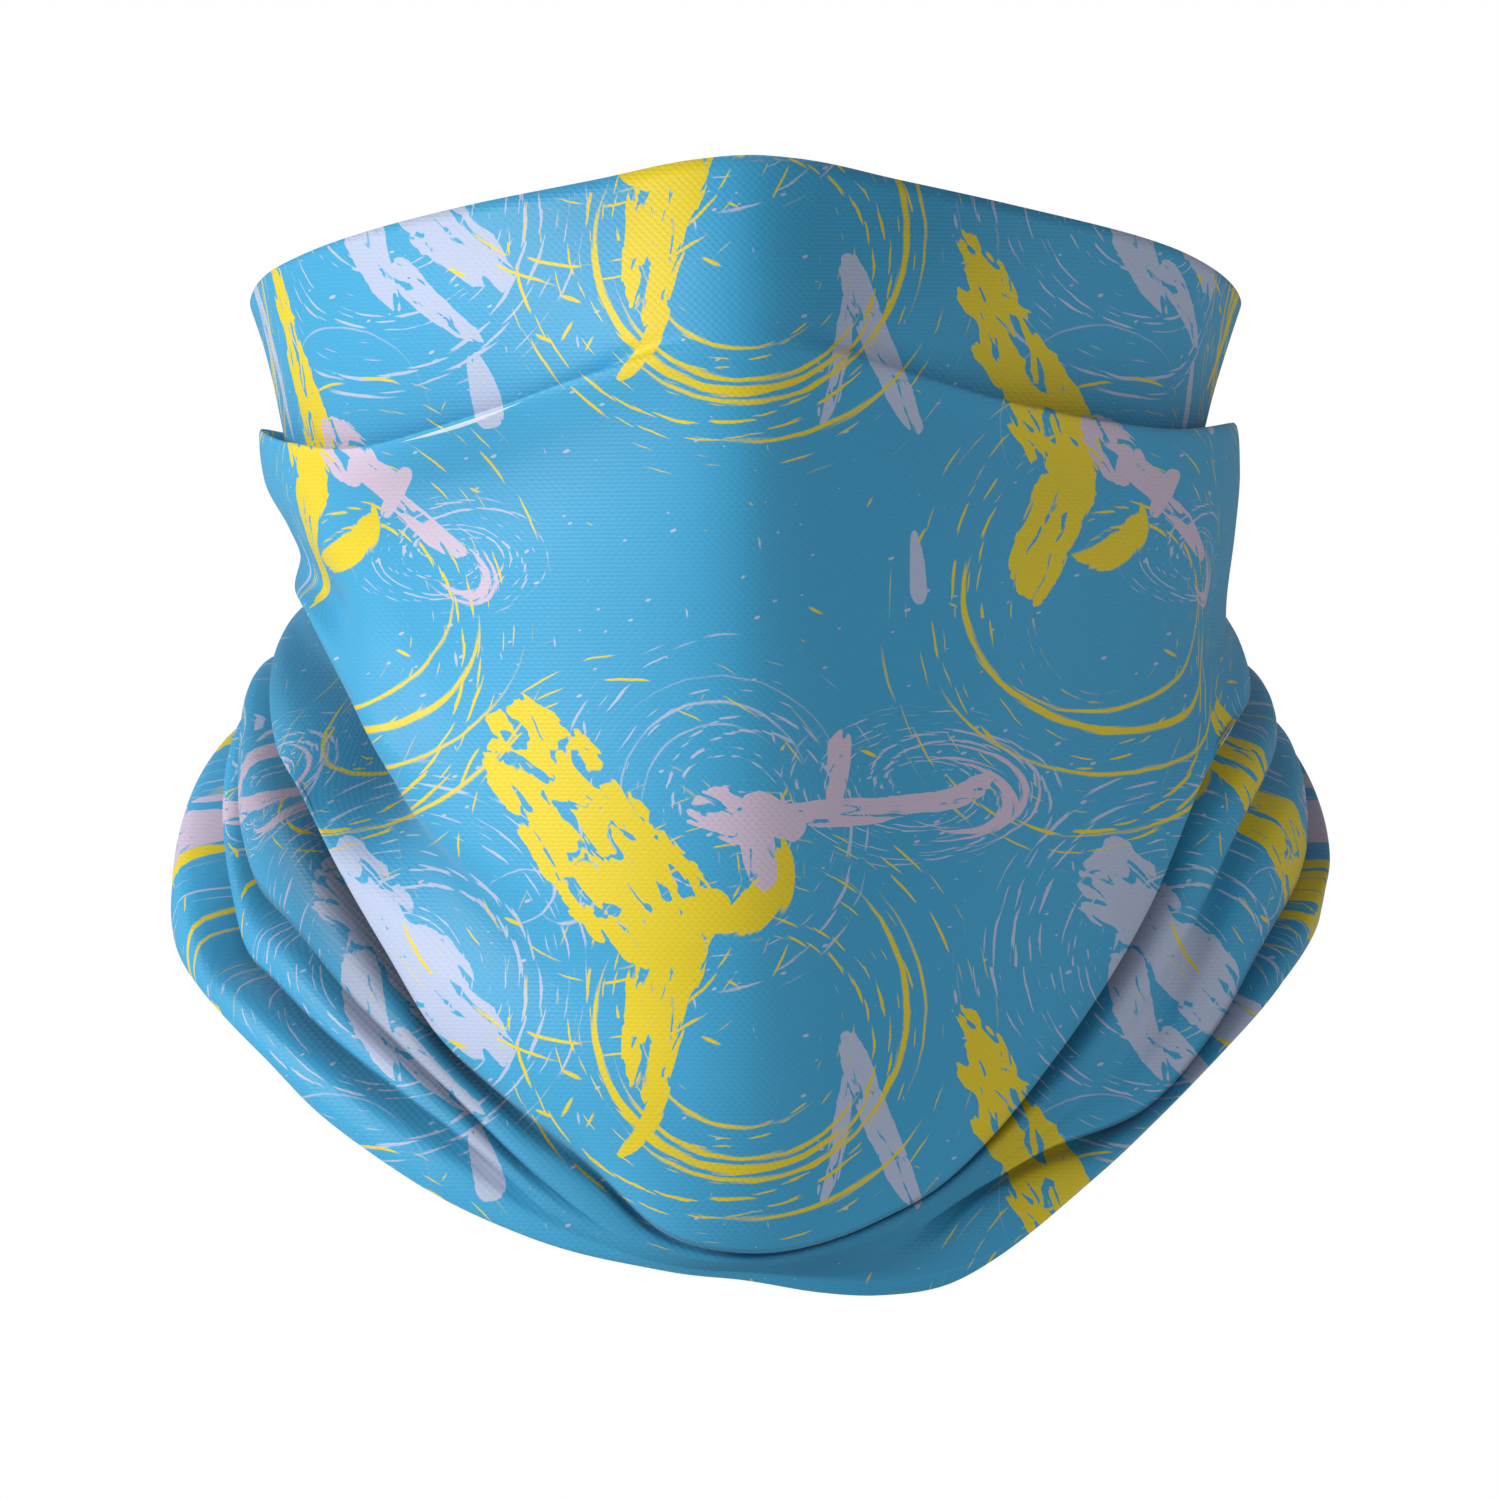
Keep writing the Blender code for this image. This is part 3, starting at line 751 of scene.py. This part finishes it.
def make_print_group():
    """The whole print's colour at a place."""
    net, given, made = new_group("print_colour", ("Place",), "Color")
    shake = net.node("ShaderNodeTexNoise", {"noise_dimensions": "2D"}, Vector=given["Place"],
                     Scale=26.0, Detail=3.0)
    shake = net.vector("SUBTRACT", shake.outputs["Color"], (0.5, 0.5, 0.5))
    place = net.vector("MULTIPLY_ADD", shake, (0.004, 0.004, 0), given["Place"])
    split = net.node("ShaderNodeSeparateXYZ", Vector=place)
    place = net.vector("FRACTION", place)
    trees = {"stroke": make_brush_group(), "arc": make_arc_group(), "ripple": make_ripple_group(),
             "specks": make_specks_group()}
    colour = BLUE
    for paint, marks in PRINT:
        total = None
        for kind, tree in trees.items():
            for row in marks.get(kind, ()):
                node = net.node("ShaderNodeGroup", {"node_tree": tree})
                if kind == "specks":
                    angle, rest = math.radians(row[0]), row[1:]
                else:
                    across, up, angle, rest = row[0], row[1], math.radians(row[2]), row[3:]
                    values = (split.outputs["X"], split.outputs["Y"], across, up,
                              math.cos(angle), math.sin(angle))
                    for label, value in zip(MARK, values):
                        net.put(node.inputs[label], value)
                if kind in ("stroke", "specks"):
                    net.put(node.inputs["Place"], place)
                    net.put(node.inputs["Angle"], angle)
                for label, value in zip(SOCKETS[kind], rest):
                    net.put(node.inputs[label], value)
                mask = node.outputs["Mask"]
                total = mask if total is None else net.math("MAXIMUM", total, mask)
        colour = net.mix(total, colour, paint)
    net.put(made, colour)
    return net.tree


def make_fabric_materials():
    """Printed outside, pale inside and cut edge of the knit."""
    group = make_print_group()
    made = []
    for name in ("printed_outside", "pale_inside", "cut_edge"):
        material = bpy.data.materials.new(name)
        material.use_nodes = True
        made.append(material)
        net = Net(material.node_tree)
        shader = material.node_tree.nodes["Principled BSDF"]
        set_inputs(shader, Roughness=0.56, Specular_IOR_Level=0.42, Sheen_Weight=0.25, Sheen_Roughness=0.4)
        place = net.node("ShaderNodeUVMap", {"uv_map": "print"}).outputs[0]
        if name == "cut_edge":
            set_inputs(shader, Base_Color=(0.30, 0.52, 0.66, 1))
            continue
        colour = net.node("ShaderNodeGroup", {"node_tree": group}, Place=place).outputs["Color"]
        if name == "pale_inside":
            colour = net.mix(0.84, colour, (0.66, 0.70, 0.73, 1))
        # Painted shade: the colour is darkened towards dark grey by the stored fold shade, deepest in
        # creases, folds and hollows
        depth = net.node("ShaderNodeAttribute", {"attribute_name": "painted_fold_shade"}).outputs["Fac"]
        shade = net.mix(net.times(depth, 0.66), (1, 1, 1, 1), (0.12, 0.14, 0.16, 1))
        net.put(shader.inputs["Base Color"], net.mix(1.0, colour, shade, "MULTIPLY"))
        stitches = net.vector("MULTIPLY", place, (REPEAT, REPEAT, 1))
        wale = net.wave(stitches, "DIAGONAL", 0.50, 0.6)
        course = net.wave(stitches, "Y", 0.48, 0.4)
        net.bump(shader, 0.35, 0.00012, net.times(wale, course))
    return made


def in_millimetres(material):
    """The net, the shader and the object coordinates, in millimetres, of a material."""
    net = Net(material.node_tree)
    place = net.vector("SCALE", net.node("ShaderNodeTexCoord").outputs["Object"])
    set_inputs(place.node, Scale=1 / MM)
    return net, material.node_tree.nodes["Principled BSDF"], place


def plain_material(name, colour, roughness):
    """A material of one colour."""
    material = bpy.data.materials.new(name)
    material.use_nodes = True
    shader = material.node_tree.nodes["Principled BSDF"]
    set_inputs(shader, Base_Color=(*colour, 1), Roughness=roughness)
    return material


# ------------------------------
# The seam's threads, on the tube's back, and the care label inside
# ------------------------------
THREAD = 0.17                    # radius of a thread
NEEDLE_OFFSET = 1.5              # each needle row from the seam's middle
COVER_HALF_WIDTH = 2.4
COVER_CORNER = 2.2               # how sharply the cover thread turns
LOOPER_HALF_WIDTH = 2.2
STITCH = 2.4                     # length of a stitch along the seam
SEAM_STEP_LENGTH = 0.24          # between points along a thread
SEAM_END = 0.6                   # how far the threads stay from the rims
THREAD_SIDES = 6


def seam_line(outer, step):
    """Points down the middle of the seam, a step apart, their places along it, and outward directions."""
    line = outer[:, 0]
    gone = np.concatenate([[0], np.cumsum(np.linalg.norm(np.diff(line, axis=0), axis=1))])
    places = np.arange(SEAM_END, gone[-1] - SEAM_END, step)
    points = np.stack([np.interp(places, gone, line[:, axis]) for axis in range(3)], axis=1)
    down = np.gradient(points, axis=0)
    down /= np.linalg.norm(down, axis=1, keepdims=True)
    across = np.array([1.0, 0, 0])
    outward = np.cross(across, down)
    outward *= np.sign(np.sum(outward * np.array([0, 1, 0]), axis=1, keepdims=True).mean())
    return points, places, outward / np.linalg.norm(outward, axis=1, keepdims=True)


def tube_mesh(name, path, radius, material):
    """A round thread along a path, with closed ends."""
    along = np.gradient(path, axis=0)
    along /= np.linalg.norm(along, axis=1, keepdims=True) + 1e-9
    side = np.cross(along, np.array([0, 1, 0.01]))
    side /= np.linalg.norm(side, axis=1, keepdims=True) + 1e-9
    other = np.cross(along, side)
    turns = np.arange(THREAD_SIDES) * 2 * math.pi / THREAD_SIDES
    sideways = side[:, None] * np.cos(turns)[:, None] + other[:, None] * np.sin(turns)[:, None]
    rings = path[:, None] + radius * sideways
    count = len(path)
    faces = [(r * THREAD_SIDES + k, r * THREAD_SIDES + (k + 1) % THREAD_SIDES,
              (r + 1) * THREAD_SIDES + (k + 1) % THREAD_SIDES, (r + 1) * THREAD_SIDES + k)
             for r in range(count - 1) for k in range(THREAD_SIDES)]
    faces.append(tuple(range(THREAD_SIDES))[::-1])
    faces.append(tuple((count - 1) * THREAD_SIDES + k for k in range(THREAD_SIDES)))
    thread = add_mesh(name, rings.reshape(-1, 3), faces)
    thread.data.materials.append(material)
    return thread


def make_threads(outer, material):
    """Two rows of needle stitches, the thread that crosses over them, and the loops inside."""
    points, places, outward = seam_line(outer, SEAM_STEP_LENGTH)
    wave = 2 * math.pi * places / STITCH
    level, lag = 0.30, 0.4
    left, right = (level - 0.55 * np.maximum(0, np.cos(turn) - 0.55) / 0.45 for turn in (wave, wave + lag))
    crossing = np.tanh(COVER_CORNER * np.sin(wave)) / math.tanh(COVER_CORNER)
    rows = {
        "needle_thread_left": (-NEEDLE_OFFSET, left),
        "needle_thread_right": (NEEDLE_OFFSET, right),
        "cover_thread": (COVER_HALF_WIDTH * crossing, 0.62 + 0.05 * np.cos(2 * wave)),
        "looper_thread": (LOOPER_HALF_WIDTH * np.sin(wave), -CLOTH - level - 0.08 * np.cos(3 * wave)),
    }
    for name, (across, height) in rows.items():
        path = points + outward * height[:, None]
        path[:, 0] += across
        thread = tube_mesh("sewn_" + name, path, THREAD, material)
        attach(thread, "gaiter")
        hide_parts(name)


LABEL_HINGE = (4.2, 85.4, 123.5)  # the foot of the hinge line
LABEL_REST = math.radians(-13)   # its direction, from the seam's tangent
LABEL_LENGTH = 18.0              # of the part that hangs free
LABEL_HEIGHT = 20.0
LABEL_ROOT = 0.5                 # from the hinge line to the free part
LABEL_TIP = 0.4                  # from its flat part to the end of its fold
TAPE = 0.22                      # thickness of the label's tape
LABEL_GAP = 0.12                 # between its two layers
LABEL_SEAM_X = 2.75              # where it goes into the seam, beside the looper thread
LABEL_SEAM_DEPTH = 1.15          # how far inside the wall's outer face it lies there
LABEL_BEND = ((3.3, 86.6), (4.69, 85.29))   # two points, from the wall to the hinge


def normals_of(path):
    """Unit normals of a flat path of points."""
    tangent = np.gradient(path, axis=0)
    tangent /= np.linalg.norm(tangent, axis=1, keepdims=True)
    return np.stack([-tangent[:, 1], tangent[:, 0]], axis=1)


def make_label(outer, material):
    """A strip of woven tape folded in half: its ends held at the seam, its fold free, bowed a little."""
    middle = (TAPE + LABEL_GAP) / 2
    turn = np.linspace(-math.pi / 2, math.pi / 2, 9)[1:-1]
    levels = np.linspace(0, LABEL_HEIGHT, 25)
    seam = outer[:, 0]
    seam = seam[np.abs(seam[:, 2] - LABEL_HINGE[2] - LABEL_HEIGHT / 2) < LABEL_HEIGHT]
    seam = seam[np.argsort(seam[:, 2])]
    rotation = np.array([[math.cos(LABEL_REST), -math.sin(LABEL_REST)],
                         [math.sin(LABEL_REST), math.cos(LABEL_REST)]])
    faces, sheets = [], ([], [])
    for level in levels:
        wall = np.interp(LABEL_HINGE[2] + level, seam[:, 2], seam[:, 1]) - LABEL_SEAM_DEPTH
        start = np.array([LABEL_SEAM_X - LABEL_HINGE[0], wall - LABEL_HINGE[1]]) @ rotation
        x = np.concatenate([np.linspace(start[0], LABEL_ROOT, 21)[:-1],
                            np.linspace(LABEL_ROOT, LABEL_ROOT + LABEL_LENGTH - LABEL_TIP, 37)])
        rise = ease((LABEL_ROOT - x) / (LABEL_ROOT - start[0]))
        share = np.clip((x - LABEL_ROOT) / LABEL_LENGTH, 0, 1)
        bow = 0.30 * share ** 2 * math.sin(math.pi * level / LABEL_HEIGHT)
        bow = bow - 0.12 * np.sin(math.pi * share)
        line = np.stack([x, start[1] * rise + bow], axis=1)
        normal = normals_of(line) * middle
        tip = line[-1] + middle * np.stack([np.cos(turn), np.sin(turn)], axis=1)
        path = np.concatenate([line - normal, tip, (line + normal)[::-1]])
        for sheet, side in zip(sheets, (0.5, -0.5)):
            edge = path + normals_of(path) * TAPE * side
            sheet.append(np.column_stack([edge @ rotation.T, np.full(len(edge), level)]))
    points = np.concatenate([np.concatenate(sheet) for sheet in sheets])
    columns, half = len(path), len(points) // 2
    for row in range(len(levels) - 1):
        for column in range(columns - 1):
            a = row * columns + column
            faces.append((a, a + columns, a + columns + 1, a + 1))
            faces.append((half + a, half + a + 1, half + a + columns + 1, half + a + columns))
    rim = [row * columns for row in range(len(levels))]
    rim += [(len(levels) - 1) * columns + column for column in range(1, columns)]
    rim += [row * columns + columns - 1 for row in range(len(levels) - 2, -1, -1)]
    rim += [column for column in range(columns - 2, 0, -1)]
    for a, b in zip(rim, rim[1:] + rim[:1]):
        faces.append((a, half + a, half + b, b))
    points += np.array(LABEL_HINGE)
    label = add_mesh("folded_label", points, faces)
    label.data.materials.append(material)
    start, end = ([value * MM for value in place] + [LABEL_HINGE[2] * MM] for place in LABEL_BEND)
    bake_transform(label)
    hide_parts("care_label")


def make_thread_material():
    """Sky-blue textured polyester thread, with its twist."""
    material = plain_material("sky_blue_thread", (0.10, 0.42, 0.66), 0.55)
    net, shader, place = in_millimetres(material)
    twist = net.wave(place, "DIAGONAL", 1.1, 1.0)
    net.put(shader.inputs["Base Color"], net.mix(twist, (0.06, 0.33, 0.55, 1), (0.14, 0.48, 0.72, 1)))
    net.bump(shader, 0.5, 0.00008, twist)
    set_inputs(shader, Sheen_Weight=0.3)
    return material


def make_tape_material():
    """White woven tape: fine ribs both ways, a little uneven in colour."""
    material = plain_material("white_woven_tape", (0.8, 0.8, 0.78), 0.62)
    net, shader, place = in_millimetres(material)
    weft = net.wave(place, "Z", 0.9, 0.3)
    warp = net.wave(place, "X", 0.7, 0.3)
    weave = net.times(weft, net.times_add(warp, 0.5, 0.5))
    patches = net.node("ShaderNodeTexNoise", Vector=place, Scale=0.25, Detail=2.0).outputs["Fac"]
    shade = net.times_add(patches, 0.25, net.times(weave, 0.6), clamp=True)
    net.put(shader.inputs["Base Color"], net.mix(shade, (0.66, 0.67, 0.66, 1), (0.88, 0.88, 0.86, 1)))
    net.bump(shader, 0.5, 0.00008, weave)
    set_inputs(shader, Sheen_Weight=0.2)
    return material


# ------------------------------
# The pieces, then the camera, the lights, the floor and the world
# ------------------------------
tube, outer_points = make_cloth()
for material in make_fabric_materials():
    tube.data.materials.append(material)
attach(tube, "gaiter")
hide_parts("printed_tube")
make_threads(outer_points, make_thread_material())
make_label(outer_points, make_tape_material())

FRAME_WIDTH = 0.24               # metres across the picture, at the object
DISTANCE = 3.0                   # metres from the camera, which is level with the object's middle
SENSOR = 36
camera = bpy.data.objects.new("camera", bpy.data.cameras.new("camera"))
bpy.context.scene.collection.objects.link(camera)
camera.location = (0, -DISTANCE, PRINT_LEVEL * MM)
camera.rotation_euler = (math.radians(90), 0, 0)
camera.data.sensor_width = SENSOR
camera.data.lens = SENSOR * DISTANCE / FRAME_WIDTH
camera.data.clip_end = 100
bpy.context.scene.camera = camera
LIT_POINT = (0, 0, 0.08)         # where every light points


def add_light(name, place, size, power):
    """A square light that points at the object."""
    lamp = bpy.data.lights.new(name, "AREA")
    lamp.shape = "SQUARE"
    lamp.size = size
    lamp.energy = power
    light = bpy.data.objects.new(name, lamp)
    light.location = place
    light.rotation_euler = (Vector(LIT_POINT) - Vector(place)).to_track_quat("-Z", "Y").to_euler()
    bpy.context.scene.collection.objects.link(light)


add_light("key", (-2.4, -0.75, 0.95), 0.9, 72)
add_light("fill", (1.2, -2.3, 0.3), 1.2, 9)
add_light("rim", (2.3, -0.2, 0.4), 1.0, 6)

FLOOR_HALF, FLOOR_LEVEL = 2, -0.4
corners = [(x * FLOOR_HALF, y * FLOOR_HALF, FLOOR_LEVEL) for x, y in ((-1, -1), (1, -1), (1, 1), (-1, 1))]
floor_mesh = bpy.data.meshes.new("floor")
floor_mesh.from_pydata(corners, [], [(0, 1, 2, 3)])
floor = bpy.data.objects.new("floor", floor_mesh)
bpy.context.scene.collection.objects.link(floor)
floor_mesh.materials.append(plain_material("pale_floor", (0.75, 0.75, 0.75), 0.9))

world = bpy.data.worlds.new("studio")
bpy.context.scene.world = world
world.use_nodes = True
nodes, links = world.node_tree.nodes, world.node_tree.links
soft_light = nodes["Background"]
set_inputs(soft_light, Color=(0.9, 0.95, 1, 1), Strength=0.17)
backdrop = nodes.new("ShaderNodeBackground")
set_inputs(backdrop, Color=(1, 1, 1, 1))
seen = nodes.new("ShaderNodeLightPath")
pick = nodes.new("ShaderNodeMixShader")
links.new(seen.outputs["Is Camera Ray"], pick.inputs[0])
links.new(soft_light.outputs[0], pick.inputs[1])
links.new(backdrop.outputs[0], pick.inputs[2])
links.new(pick.outputs[0], nodes["World Output"].inputs["Surface"])
bpy.context.scene.view_settings.view_transform = "Standard"
